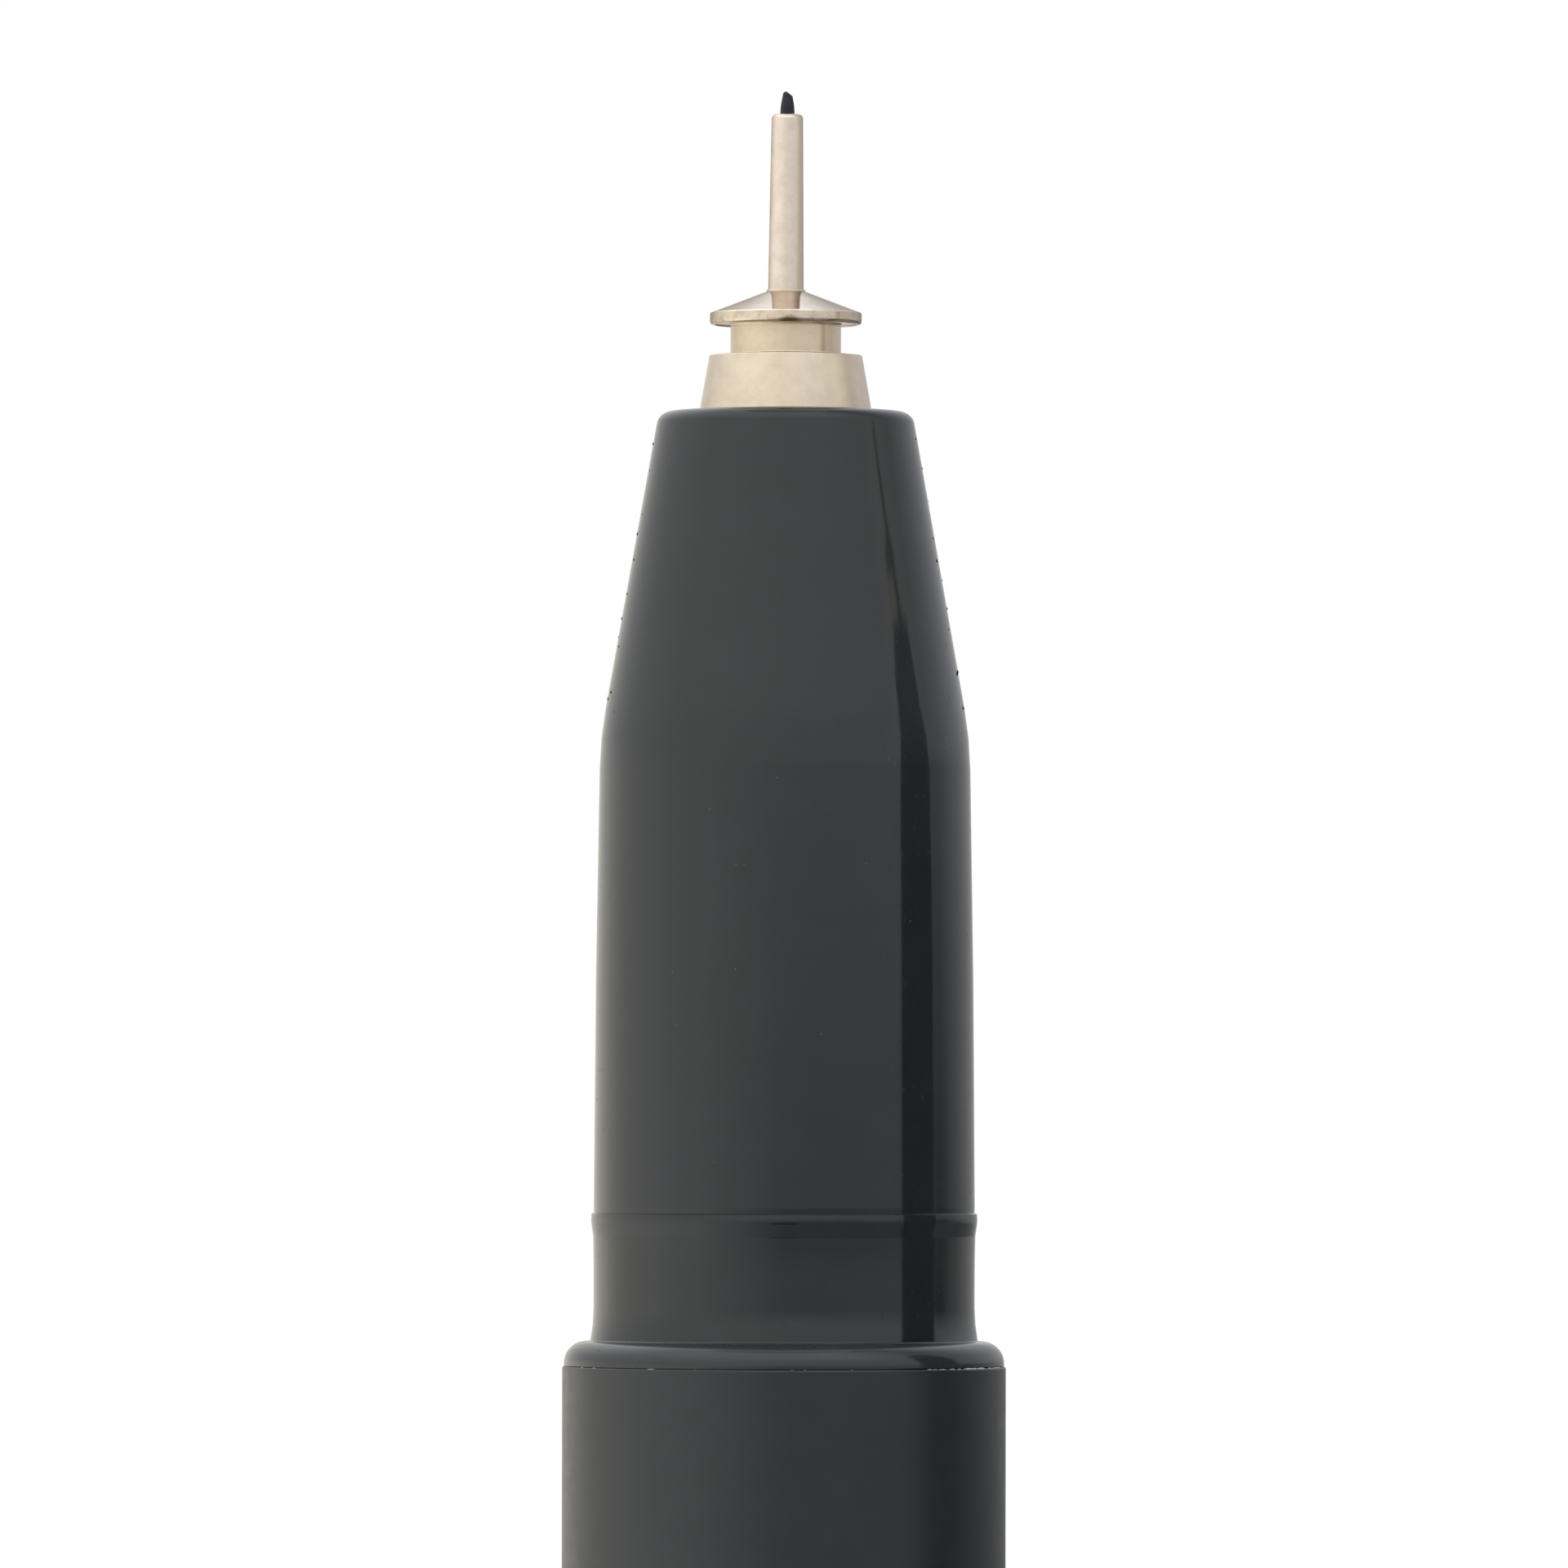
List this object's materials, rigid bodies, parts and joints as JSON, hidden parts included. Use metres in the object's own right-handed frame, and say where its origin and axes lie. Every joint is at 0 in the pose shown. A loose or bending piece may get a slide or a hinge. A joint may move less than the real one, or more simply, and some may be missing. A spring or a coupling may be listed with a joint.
{
  "type": "fineliner pen",
  "caption": "Black capped fineliner with a fine fibre nib in a metal tube, a turned metal tip, a tapered front section with a snap seat, and a clip cap posted on the rear end.",
  "frame": {"origin": "centre of the flat end of the posted cap, on which the pen stands", "axes": "+Z along the pen's axis towards the nib; +X towards the clip; +Y completes the right-handed frame"},
  "size_m": [0.0126, 0.011, 0.1553],
  "materials": {
    "gloss_black": "moulded gloss",
    "satin_black": "moulded satin",
    "tip_metal": "turned, warm nickel tone",
    "clip_steel": "satin spring steel",
    "nib_fibre": "inked fibre",
    "ink_fibre": "inked fibre",
    "film": "clear film",
    "cup_plastic": "natural, soft"
  },
  "bodies": {
    "cap": {"cap_shell": "satin_black", "inner_cap": "cup_plastic", "cap_plug": "gloss_black", "clip": "clip_steel"},
    "pen": {"nib": "nib_fibre", "nib_tube": "tip_metal", "tip_collar": "tip_metal", "feed_wick": "ink_fibre", "front_section": "gloss_black", "barrel": "satin_black", "ink_reservoir": "ink_fibre", "reservoir_wrap": "film", "rear_plug": "gloss_black"}
  },
  "joints": [
    {"name": "cap_slide", "type": "slide", "parent": "cap", "child": "pen", "axis": [0, 0, 1], "range_m": [0, 0.02]}
  ]
}
